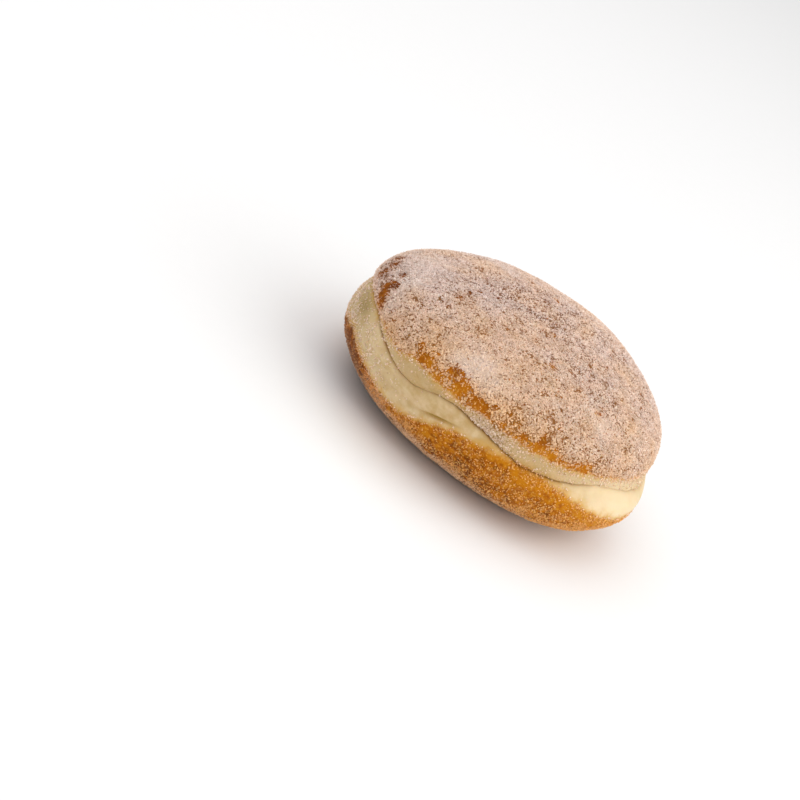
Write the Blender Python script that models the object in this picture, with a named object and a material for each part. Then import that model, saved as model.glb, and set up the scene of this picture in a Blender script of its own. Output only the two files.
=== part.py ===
"""Jelly filled doughnut: one whole, uncut piece of fried yeast dough.

The doughnut lies on a small flat spot of its underside.  Its origin is the middle of its plan, at
the level of the table, +Z is up, and one unit is one metre.  A ring of pale dough, where it floated in
the frying oil, runs round the side between the domed top and the rounder underside, and a crease
wanders up and down round that ring.
"""

import math

import bmesh
import bpy

# Driving dimensions, in metres and degrees.
NAME = "jelly_filled_doughnut"
HEIGHT = 0.0390
HALF_WIDTH = 0.0406            # mean radius of the domed top
CREASE_HEIGHT = 0.0240         # where the dome meets the pale ring, before the crease wanders
SHOULDER_HEIGHT = 0.0144       # where the side starts to turn under
SUNK = 0.0040                  # how much of the round underside the flat spot takes away

# Roundness of the two quarter curves: 2 is an ellipse, and more is squarer.
DOME_SQUARENESS = 2.45
UNDERSIDE_SQUARENESS = 2.0

# The plan is not a true circle: (lobes round the ring, share of the radius, angle of a lobe).
DOME_PLAN = ((2, 0.025, 28.0), (3, 0.033, 85.0))
UNDERSIDE_SHARE = 1.014        # mean radius of the underside's shoulder over the dome's
UNDERSIDE_PLAN = ((2, 0.076, -30.0),)

# The top leans a little and sits a little off the underside's middle.
LEAN = -0.004                   # share of its height that the rim gains on the +X side
TOP_SHIFT = (-0.0006, -0.0037)

# The crease rises and dips round the ring: (angle, half spread, rise).
CREASE_WANDER = (
    (205.0, 14.0, 0.0014), (238.0, 14.0, -0.0052), (295.0, 25.0, -0.0046), (350.0, 23.0, -0.0045),
    (40.0, 24.0, -0.0024), (95.0, 22.0, -0.0026), (150.0, 20.0, -0.0010),
)
CREASE_DEPTH = 0.0012
CREASE_REACH_UP = 0.0013       # the dome rolls in steeply above the crease
CREASE_REACH_DOWN = 0.0026     # the pale ring swells out slowly below it
RING_SWELL = 0.0005            # how far the pale ring stands out halfway down
FOLLOWING_SHARE = 0.5          # rows of this lower share of the dome follow the crease

# Mesh resolution.
SEGMENTS = 84
DOME_ROWS = 19
RING_ROWS = 9
UNDERSIDE_ROWS = 10
FLAT_ROWS = 3
ROWS = DOME_ROWS + RING_ROWS + UNDERSIDE_ROWS + FLAT_ROWS

CRUST_COLOR = (0.60, 0.36, 0.17, 1.0)
CRUST_ROUGHNESS = 0.65


def clear_scene():
    """Remove every object that the new file starts with."""
    for old in list(bpy.data.objects):
        bpy.data.objects.remove(old, do_unlink=True)


def ring_waves(angle, waves):
    """Sum of the cosine waves (lobes, size, angle of a lobe) at an angle round the ring."""
    return sum(size * math.cos(lobes * (angle - math.radians(at))) for lobes, size, at in waves)


def ring_swells(angle, swells):
    """Sum of the smooth swells (angle, half spread, size) at an angle round the ring."""
    total = 0.0
    for at, spread, size in swells:
        away = math.remainder(angle - math.radians(at), math.tau) / math.radians(spread)
        total += size * math.exp(-away * away)
    return total


def smooth_step(share):
    """Ease from 0 to 1 with no kink at either end."""
    return share * share * (3.0 - 2.0 * share)


def quarter(share, squareness):
    """A point (across, along) of a quarter of a rounded square, from (1, 0) to (0, 1)."""
    turn = share * math.pi / 2
    power = 2.0 / squareness
    return max(math.cos(turn), 0.0) ** power, max(math.sin(turn), 0.0) ** power


def dome_radius(angle):
    return HALF_WIDTH * (1.0 + ring_waves(angle, DOME_PLAN))


def underside_radius(angle):
    return dome_radius(angle) * (UNDERSIDE_SHARE + ring_waves(angle, UNDERSIDE_PLAN))


def crease_wander(angle):
    return ring_swells(angle, CREASE_WANDER)


def side_radius(angle, height):
    """Radius of the smooth skin, without the crease, at a height above the shoulder."""
    top, bottom = dome_radius(angle), underside_radius(angle)
    if height >= CREASE_HEIGHT:
        up = min((height - CREASE_HEIGHT) / (HEIGHT - CREASE_HEIGHT), 1.0)
        return top * (1.0 - up ** DOME_SQUARENESS) ** (1.0 / DOME_SQUARENESS)
    down = (CREASE_HEIGHT - height) / (CREASE_HEIGHT - SHOULDER_HEIGHT)
    return top + (bottom - top) * smooth_step(down)


def dome_point(angle, share):
    """Radius and height on the dome, from the crown (share 0) down to the crease (share 1)."""
    up, _ = quarter(share, DOME_SQUARENESS)
    follow = smooth_step(max(share - FOLLOWING_SHARE, 0.0) / (1.0 - FOLLOWING_SHARE))
    height = CREASE_HEIGHT + (HEIGHT - CREASE_HEIGHT) * up + crease_wander(angle) * follow
    return side_radius(angle, height), height


def ring_point(angle, share):
    """Radius and height on the pale ring, from the crease (share 0) down to the shoulder."""
    crease = CREASE_HEIGHT + crease_wander(angle)
    height = crease + (SHOULDER_HEIGHT - crease) * share
    return side_radius(angle, height) + RING_SWELL * math.sin(math.pi * share), height


def underside_point(angle, share):
    """Radius and height on the underside, from the shoulder (share 0) to the flat spot's edge."""
    deep = SHOULDER_HEIGHT + SUNK
    flat_share = math.asin((SHOULDER_HEIGHT / deep) ** (UNDERSIDE_SQUARENESS / 2)) / (math.pi / 2)
    across, down = quarter(share * flat_share, UNDERSIDE_SQUARENESS)
    return underside_radius(angle) * across, SHOULDER_HEIGHT - deep * down


def flat_point(angle, share):
    """Radius and height on the flat spot, from its edge (share 0) to its middle (share 1)."""
    edge, _ = underside_point(angle, 1.0)
    return edge * (1.0 - share), 0.0


def crease_inset(angle, height):
    """How far the crease pulls the skin in at a height."""
    above = height - CREASE_HEIGHT - crease_wander(angle)
    reach = CREASE_REACH_UP if above > 0.0 else CREASE_REACH_DOWN
    return CREASE_DEPTH * math.exp(-abs(above) / reach)


def skin_point(angle, row):
    """The point of the skin on one row, counted from the crown down to the flat spot's middle."""
    radius, height = 0.0, 0.0
    for rows, point in STRETCHES:
        if row <= rows:
            radius, height = point(angle, row / rows)
            break
        row -= rows
    radius = max(radius - crease_inset(angle, height), 0.0)
    lift = height / HEIGHT - 0.5
    x = radius * math.cos(angle) + TOP_SHIFT[0] * lift
    y = radius * math.sin(angle) + TOP_SHIFT[1] * lift
    return x, y, height * (1.0 + LEAN * radius * math.cos(angle) / HALF_WIDTH)


STRETCHES = (
    (DOME_ROWS, dome_point), (RING_ROWS, ring_point),
    (UNDERSIDE_ROWS, underside_point), (FLAT_ROWS, flat_point),
)


def crust_material():
    material = bpy.data.materials.new("doughnut_crust")
    material.use_nodes = True
    shader = material.node_tree.nodes["Principled BSDF"]
    shader.inputs["Base Color"].default_value = CRUST_COLOR
    shader.inputs["Roughness"].default_value = CRUST_ROUGHNESS
    shader.inputs["Metallic"].default_value = 0.0
    return material


def centre_plan(form):
    """Slide the form level until the middle of its plan is on the origin."""
    for axis in (0, 1):
        places = [vert.co[axis] for vert in form.verts]
        middle = (min(places) + max(places)) / 2
        for vert in form.verts:
            vert.co[axis] -= middle


def make_doughnut():
    """Turn the rows and columns of a globe into the doughnut's skin."""
    form = bmesh.new()
    bmesh.ops.create_uvsphere(form, u_segments=SEGMENTS, v_segments=ROWS, radius=1.0)
    for vert in form.verts:
        tilt = math.acos(max(-1.0, min(1.0, vert.co.z)))
        row = round(tilt / math.pi * ROWS)
        angle = math.atan2(vert.co.y, vert.co.x) if 0 < row < ROWS else 0.0
        vert.co = skin_point(angle, row)
    centre_plan(form)
    bmesh.ops.recalc_face_normals(form, faces=form.faces)
    mesh = bpy.data.meshes.new("doughnut")
    form.to_mesh(mesh)
    form.free()
    mesh.shade_smooth()
    mesh.materials.append(crust_material())
    return bpy.data.objects.new("doughnut", mesh)


def main():
    clear_scene()
    collection = bpy.data.collections.new(NAME)
    bpy.context.scene.collection.children.link(collection)
    collection.objects.link(make_doughnut())


main()
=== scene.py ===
"""Jelly filled doughnut: skin, sugar coat and studio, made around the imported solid.

The skin is one closed sheet of fried dough: a brown domed top, a pale ring round the side with a
crease that wanders along it, and a brown underside.  Granulated sugar lies on it as loose grains.
"""

import math

import bpy
import numpy as np
from bpy.props import (
    FloatProperty, FloatVectorProperty, IntProperty, PointerProperty,
)
from mathutils import Matrix, Vector, noise


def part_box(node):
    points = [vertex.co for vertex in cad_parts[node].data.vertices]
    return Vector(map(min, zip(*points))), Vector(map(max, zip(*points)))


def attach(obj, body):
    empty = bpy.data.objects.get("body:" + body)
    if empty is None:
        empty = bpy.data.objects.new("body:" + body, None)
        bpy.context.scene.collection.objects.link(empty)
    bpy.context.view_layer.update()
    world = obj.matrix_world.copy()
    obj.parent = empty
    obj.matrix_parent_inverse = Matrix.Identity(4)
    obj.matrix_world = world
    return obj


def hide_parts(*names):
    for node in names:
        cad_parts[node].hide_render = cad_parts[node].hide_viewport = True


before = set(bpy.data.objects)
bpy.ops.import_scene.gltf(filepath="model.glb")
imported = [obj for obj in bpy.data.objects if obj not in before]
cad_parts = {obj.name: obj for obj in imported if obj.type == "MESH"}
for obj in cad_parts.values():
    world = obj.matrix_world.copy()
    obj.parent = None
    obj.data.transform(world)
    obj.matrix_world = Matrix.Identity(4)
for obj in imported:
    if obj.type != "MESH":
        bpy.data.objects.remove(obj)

bl_info = {
    "name": "Sugared Filled Doughnut",
    "version": (1, 0, 0),
    "blender": (4, 5, 0),
    "location": "View3D > Sidebar > Doughnut",
    "description": "Makes the skin, the sugar coat and the studio of a filled doughnut",
    "category": "Add Mesh",
}

NODE = "doughnut"
BODY = "root"
MM = 0.001

# ---------------------------------------------------------------------------------------------
# The form, in metres and degrees.  It follows the solid that the skin stands for.

HEIGHT = 0.0390
HALF_WIDTH = 0.0406
CREASE_HEIGHT = 0.0240
SHOULDER_HEIGHT = 0.0144
SUNK = 0.0040
DOME_SQUARENESS = 2.45
UNDERSIDE_SQUARENESS = 2.0
DOME_PLAN = ((2, 0.025, 28.0), (3, 0.033, 85.0))
UNDERSIDE_SHARE = 1.014
UNDERSIDE_PLAN = ((2, 0.076, -30.0),)
LEAN = -0.004
TOP_SHIFT = (-0.0006, -0.0037)
RING_SWELL = 0.0005

# (angle, half spread, rise) of the crease, of the brown top's lower edge and of the brown
# underside's upper edge.
CREASE_WANDER = (
    (205.0, 14.0, 0.0014), (238.0, 14.0, -0.0052), (295.0, 25.0, -0.0046), (350.0, 23.0, -0.0045),
    (40.0, 24.0, -0.0024), (95.0, 22.0, -0.0026), (150.0, 20.0, -0.0010),
)
CREASE_JITTER = ((17, 0.00012, 4.0), (31, 0.00009, 7.0), (53, 0.00006, 2.0))
TOP_EDGE_HEIGHT = 0.0246
TOP_EDGE_WANDER = (
    (208.0, 7.0, 0.0008), (232.0, 5.0, -0.0008), (243.0, 9.0, 0.0009), (271.0, 8.0, 0.0008),
    (301.0, 12.0, -0.0006), (345.0, 16.0, -0.0004), (20.0, 18.0, 0.0007), (62.0, 14.0, -0.0006),
    (105.0, 16.0, 0.0008), (150.0, 14.0, -0.0005),
)
LEAST_STRIP = 0.0003
LOW_EDGE_HEIGHT = 0.0140
LOW_EDGE_WANDER = (
    (188.0, 9.0, -0.0016), (206.0, 8.0, 0.0008), (237.0, 18.0, -0.0043), (265.0, 7.0, 0.0015),
    (292.0, 26.0, 0.0060), (350.0, 16.0, -0.0008), (45.0, 25.0, 0.0022), (110.0, 20.0, -0.0018),
    (150.0, 16.0, 0.0014),
)

# The crease is a soft valley with a narrow slit at its bottom.
VALLEY_DEPTH = 0.00075
VALLEY_WANDER = ((284.0, 34.0, -0.00045), (20.0, 30.0, -0.00020), (110.0, 30.0, -0.00030))
VALLEY_REACH_UP = 0.0013
VALLEY_REACH_DOWN = 0.0026
SLIT_DEPTH = 0.0008
SLIT_REACH = 0.00020
SLIT_WANDER = (
    (208.0, 10.0, -0.0003), (226.0, 5.0, 0.0006), (244.0, 12.0, -0.0006), (274.0, 11.0, 0.0005),
    (330.0, 22.0, -0.0006), (60.0, 16.0, -0.0004), (120.0, 12.0, 0.0003), (165.0, 12.0, -0.0004),
)

# Short folds in the pale ring: (angle, height, half length, half width, depth, rise per metre).
FOLDS = (
    (257.0, 0.0168, 0.0050, 0.00045, 0.00125, 0.37),
    (316.0, 0.0192, 0.0022, 0.00060, 0.00030, -3.0),
    (228.0, 0.0165, 0.0035, 0.00090, 0.00030, 0.30),
    (30.0, 0.0170, 0.0045, 0.00060, 0.00060, -0.30),
    (82.0, 0.0160, 0.0035, 0.00050, 0.00050, 0.45),
    (128.0, 0.0185, 0.0050, 0.00060, 0.00065, 0.20),
    (172.0, 0.0175, 0.0030, 0.00055, 0.00045, -0.50),
)


def ring_waves(angle, waves):
    """Sum of the cosine waves (lobes, size, angle of a lobe) at angles round the ring."""
    return sum(size * np.cos(lobes * (angle - math.radians(at))) for lobes, size, at in waves)


def turn_from(angle, at):
    """Angle from a place round the ring, between half a turn either way."""
    return (angle - math.radians(at) + math.pi) % math.tau - math.pi


def ring_swells(angle, swells):
    """Sum of the smooth swells (angle, half spread, size) at angles round the ring."""
    return sum(
        size * np.exp(-(turn_from(angle, at) / math.radians(spread)) ** 2)
        for at, spread, size in swells
    )


def smooth_step(share):
    share = np.clip(share, 0.0, 1.0)
    return share * share * (3.0 - 2.0 * share)


def quarter(share, squareness):
    """Points (across, along) of a quarter of a rounded square, from (1, 0) to (0, 1)."""
    turn = share * math.pi / 2
    power = 2.0 / squareness
    return np.clip(np.cos(turn), 0.0, 1.0) ** power, np.clip(np.sin(turn), 0.0, 1.0) ** power


def dome_radius(angle):
    return HALF_WIDTH * (1.0 + ring_waves(angle, DOME_PLAN))


def underside_radius(angle):
    return dome_radius(angle) * (UNDERSIDE_SHARE + ring_waves(angle, UNDERSIDE_PLAN))


def crease_height(angle):
    return (CREASE_HEIGHT + ring_swells(angle, CREASE_WANDER)
            + ring_waves(angle, CREASE_JITTER))


def top_edge_height(angle):
    """Lower edge of the brown top, never below the crease."""
    edge = TOP_EDGE_HEIGHT + ring_swells(angle, TOP_EDGE_WANDER)
    return np.maximum(edge, crease_height(angle) + LEAST_STRIP)


def side_radius(angle, height):
    """Radius of the smooth skin, without the crease, at heights above the shoulder."""
    top, bottom = dome_radius(angle), underside_radius(angle)
    up = np.clip((height - CREASE_HEIGHT) / (HEIGHT - CREASE_HEIGHT), 0.0, 1.0)
    down = np.clip((CREASE_HEIGHT - height) / (CREASE_HEIGHT - SHOULDER_HEIGHT), 0.0, 1.0)
    dome = top * (1.0 - up ** DOME_SQUARENESS) ** (1.0 / DOME_SQUARENESS)
    return np.where(height >= CREASE_HEIGHT, dome, top + (bottom - top) * smooth_step(down))


def dome_points(angle, share):
    """Radius and height on the dome, from the crown (share 0) down to the crease (share 1)."""
    up, _ = quarter(share, DOME_SQUARENESS)
    follow = smooth_step(2.0 * share - 1.0)
    height = CREASE_HEIGHT + (HEIGHT - CREASE_HEIGHT) * up
    height = height + (crease_height(angle) - CREASE_HEIGHT) * follow
    return side_radius(angle, height), height


def ring_points(angle, share):
    """Radius and height on the pale ring, from the crease (share 0) down to the shoulder."""
    crease = crease_height(angle)
    height = crease + (SHOULDER_HEIGHT - crease) * share
    return side_radius(angle, height) + RING_SWELL * np.sin(math.pi * share), height


def underside_points(angle, share):
    """Radius and height on the underside, from the shoulder (share 0) to the flat spot's edge."""
    deep = SHOULDER_HEIGHT + SUNK
    flat_share = math.asin((SHOULDER_HEIGHT / deep) ** (UNDERSIDE_SQUARENESS / 2)) / (math.pi / 2)
    across, down = quarter(share * flat_share, UNDERSIDE_SQUARENESS)
    return underside_radius(angle) * across, SHOULDER_HEIGHT - deep * down


def flat_points(angle, share):
    """Radius and height on the flat spot, from its edge (share 0) to its middle (share 1)."""
    edge, _ = underside_points(angle, 1.0)
    return edge * (1.0 - share), 0.0


def crease_inset(angle, height):
    """How far the crease pulls the skin in."""
    above = height - crease_height(angle)
    reach = np.where(above > 0.0, VALLEY_REACH_UP, VALLEY_REACH_DOWN)
    valley = VALLEY_DEPTH + ring_swells(angle, VALLEY_WANDER)
    slit = np.clip(SLIT_DEPTH + ring_swells(angle, SLIT_WANDER), 0.0002, None)
    return valley * np.exp(-np.abs(above) / reach) + slit * np.exp(-np.abs(above) / SLIT_REACH)


def fold_inset(angle, radius, height):
    """How far the short folds of the pale ring pull the skin in."""
    total = 0.0
    for at, middle, half_length, half_width, depth, rise in FOLDS:
        along = turn_from(angle, at) * radius
        slope = math.atan(rise)
        up = height - middle
        forward = along * math.cos(slope) + up * math.sin(slope)
        aside = up * math.cos(slope) - along * math.sin(slope)
        total = total + depth * np.exp(
            -(forward / half_length) ** 2 - np.abs(aside / half_width) ** 1.5)
    return total


# ---------------------------------------------------------------------------------------------
# Rows of the skin's mesh: shares along each stretch, closest together at the crease.

SEGMENTS = 336
DOME_ROWS = 142
RING_ROWS = 70
UNDERSIDE_ROWS = 56
FLAT_ROWS = 14
ROWS = DOME_ROWS + RING_ROWS + UNDERSIDE_ROWS + FLAT_ROWS


def row_stretches():
    """(stretch function, shares of its rows) from the crown down to the flat spot's middle."""
    dome = 1.0 - (1.0 - np.arange(DOME_ROWS) / DOME_ROWS) ** 1.3
    ring = np.arange(RING_ROWS) / RING_ROWS
    ring = 0.3 * ring + 0.7 * ring ** 2
    under = np.arange(UNDERSIDE_ROWS) / UNDERSIDE_ROWS
    flat = np.arange(FLAT_ROWS + 1) / FLAT_ROWS
    return ((dome_points, dome), (ring_points, ring), (underside_points, under),
            (flat_points, flat))


def skin_table():
    """Radius and height of every row (down) at every segment's angle (across)."""
    angle = np.arange(SEGMENTS) * math.tau / SEGMENTS
    radius, height = [], []
    for points, shares in row_stretches():
        for share in shares:
            row_radius, row_height = points(angle, share)
            radius.append(np.broadcast_to(row_radius, angle.shape))
            height.append(np.broadcast_to(row_height, angle.shape))
    return angle, np.array(radius), np.array(height)


def place(angle, radius, height):
    """Points in space, with the top's shift and lean."""
    lift = height / HEIGHT - 0.5
    x = radius * np.cos(angle) + TOP_SHIFT[0] * lift
    y = radius * np.sin(angle) + TOP_SHIFT[1] * lift
    z = height * (1.0 + LEAN * radius * np.cos(angle) / HALF_WIDTH)
    return np.stack([x, y, z], axis=-1)


def noise_field(points, scale, seed):
    """Smooth noise between about -1 and 1 at points, in lumps of a scale in metres."""
    offset = Vector((seed * 17.3, seed * 5.1, seed * 9.7))
    return np.array([noise.noise(Vector(point) / scale + offset) for point in points])


# ---------------------------------------------------------------------------------------------
# Where the sugar lies.  Spots are (angle, radius, height, half size) in degrees and metres.

BARE_SPOTS = (
    (238.4, 0.0396, 0.0290, 0.0010), (241.5, 0.0402, 0.0272, 0.0012),
    (244.1, 0.0399, 0.0275, 0.0020), (250.4, 0.0397, 0.0259, 0.0014),
    (253.5, 0.0382, 0.0295, 0.0017), (259.4, 0.0384, 0.0285, 0.0021),
    (258.1, 0.0391, 0.0266, 0.0014), (265.8, 0.0386, 0.0271, 0.0016),
    (269.9, 0.0386, 0.0268, 0.0019), (277.0, 0.0393, 0.0260, 0.0009),
    (285.7, 0.0391, 0.0256, 0.0016), (292.3, 0.0394, 0.0254, 0.0017),
    (297.9, 0.0398, 0.0250, 0.0024), (292.6, 0.0386, 0.0285, 0.0009),
    (305.6, 0.0403, 0.0243, 0.0018), (311.8, 0.0406, 0.0249, 0.0021),
    (197.6, 0.0414, 0.0293, 0.0019), (193.3, 0.0395, 0.0314, 0.0014),
    (203.3, 0.0378, 0.0328, 0.0012), (207.3, 0.0405, 0.0305, 0.0016),
    (209.3, 0.0396, 0.0315, 0.0010), (209.9, 0.0416, 0.0288, 0.0018),
    (212.6, 0.0420, 0.0275, 0.0016), (214.8, 0.0421, 0.0264, 0.0012),
    (187.0, 0.0388, 0.0315, 0.0016), (217.4, 0.0260, 0.0371, 0.0010), (210.7, 0.0223, 0.0379, 0.0007),
    (226.0, 0.0301, 0.0355, 0.0008), (205.0, 0.0194, 0.0380, 0.0008),
    (116.0, 0.0202, 0.0378, 0.0010), (94.7, 0.0170, 0.0382, 0.0011),
    (304.8, 0.0058, 0.0390, 0.0009), (291.0, 0.0202, 0.0377, 0.0012),
    (317.4, 0.0304, 0.0354, 0.0009), (203.0, 0.0143, 0.0386, 0.0007),
    (20.0, 0.0405, 0.0265, 0.0021), (36.0, 0.0400, 0.0268, 0.0014),
    (62.0, 0.0392, 0.0270, 0.0019), (84.0, 0.0390, 0.0262, 0.0013),
    (105.0, 0.0395, 0.0262, 0.0024), (140.0, 0.0405, 0.0272, 0.0016),
    (160.0, 0.0410, 0.0268, 0.0021), (50.0, 0.0300, 0.0358, 0.0010),
)
SUGAR_DRIFTS = (
    (256.9, 0.0363, 0.0316, 0.0028), (258.5, 0.0328, 0.0338, 0.0036),
    (264.8, 0.0351, 0.0322, 0.0036), (250.8, 0.0356, 0.0323, 0.0024),
    (205.8, 0.0360, 0.0339, 0.0040), (209.8, 0.0374, 0.0331, 0.0026),
    (217.2, 0.0416, 0.0284, 0.0022), (183.5, 0.0320, 0.0352, 0.0040),
    (195.0, 0.0340, 0.0346, 0.0034), (318.4, 0.0336, 0.0339, 0.0034),
    (75.0, 0.0340, 0.0335, 0.0046), (130.0, 0.0250, 0.0372, 0.0040),
)
ROUGH_SPOTS = (
    (203.0, 0.0398, 0.0304, 0.0050), (191.0, 0.0392, 0.0316, 0.0040),
    (253.0, 0.0386, 0.0284, 0.0034), (265.0, 0.0382, 0.0280, 0.0036),
    (280.0, 0.0386, 0.0270, 0.0034), (296.0, 0.0392, 0.0268, 0.0036),
    (312.0, 0.0402, 0.0262, 0.0032), (214.0, 0.0240, 0.0375, 0.0036),
    (45.0, 0.0390, 0.0280, 0.0050), (110.0, 0.0385, 0.0285, 0.0050),
)
CLEAN_LOW_SPOTS = (
    (256.0, 0.0369, 0.0116, 0.0017), (260.9, 0.0369, 0.0116, 0.0022),
    (266.6, 0.0370, 0.0115, 0.0018), (273.1, 0.0388, 0.0177, 0.0012),
    (279.6, 0.0393, 0.0174, 0.0020), (283.9, 0.0397, 0.0181, 0.0016),
    (292.6, 0.0410, 0.0156, 0.0020), (300.6, 0.0421, 0.0164, 0.0017),
    (304.5, 0.0427, 0.0157, 0.0020), (309.5, 0.0433, 0.0165, 0.0017),
    (207.0, 0.0423, 0.0138, 0.0018), (20.0, 0.0410, 0.0150, 0.0024),
    (65.0, 0.0400, 0.0130, 0.0020), (118.0, 0.0400, 0.0115, 0.0022),
    (155.0, 0.0420, 0.0140, 0.0018), (90.0, 0.0380, 0.0090, 0.0020),
)


SLIT_SHADE = 0.35              # how far the painted shade reaches from the slit, in millimetres
LEFT_END = 201.0               # side of the ring that has caught most sugar, and where painted shade greys the ring
PAINTED_SHADE_SPOT = (207.5, 0.0222)   # angle and height of the darkest spot of painted shade on the ring
PAINTED_LIGHT_SIDE = 332.0              # side of the ring where painted light lies
FROSTED_SIDE = 222.0           # side of the ring that fine sugar has whitened
SUGARED_STRIP = 275.0          # side of the strip above the crease that has caught sugar
WARM_SIDE = 262.0              # side of the dome whose sugar looks most tan
COOL_SIDE = 115.0              # side of the dome whose sugar looks coolest
SPECK_SIDE = 85.0              # side of the dome whose coat has the most dark gaps
SPECK_REACH = 0.018            # how far the dark gaps reach round the crown, in metres
DARK_END = 205.0               # side towards which the crust is made darkest
CAKED_SIDE = 231.0             # side of the underside that has caught most sugar
CRUSTED_SIDE = 256.0           # side of the underside whose lower sugar hides the dough best


def spots(points, places):
    """Sum of round soft spots at places (angle, radius, height, half size)."""
    total = np.zeros(len(points))
    for at, radius, height, half in places:
        middle = place(math.radians(at), radius, height)
        total += np.exp(-(np.linalg.norm(points - middle, axis=1) / half) ** 2)
    return total


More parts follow.
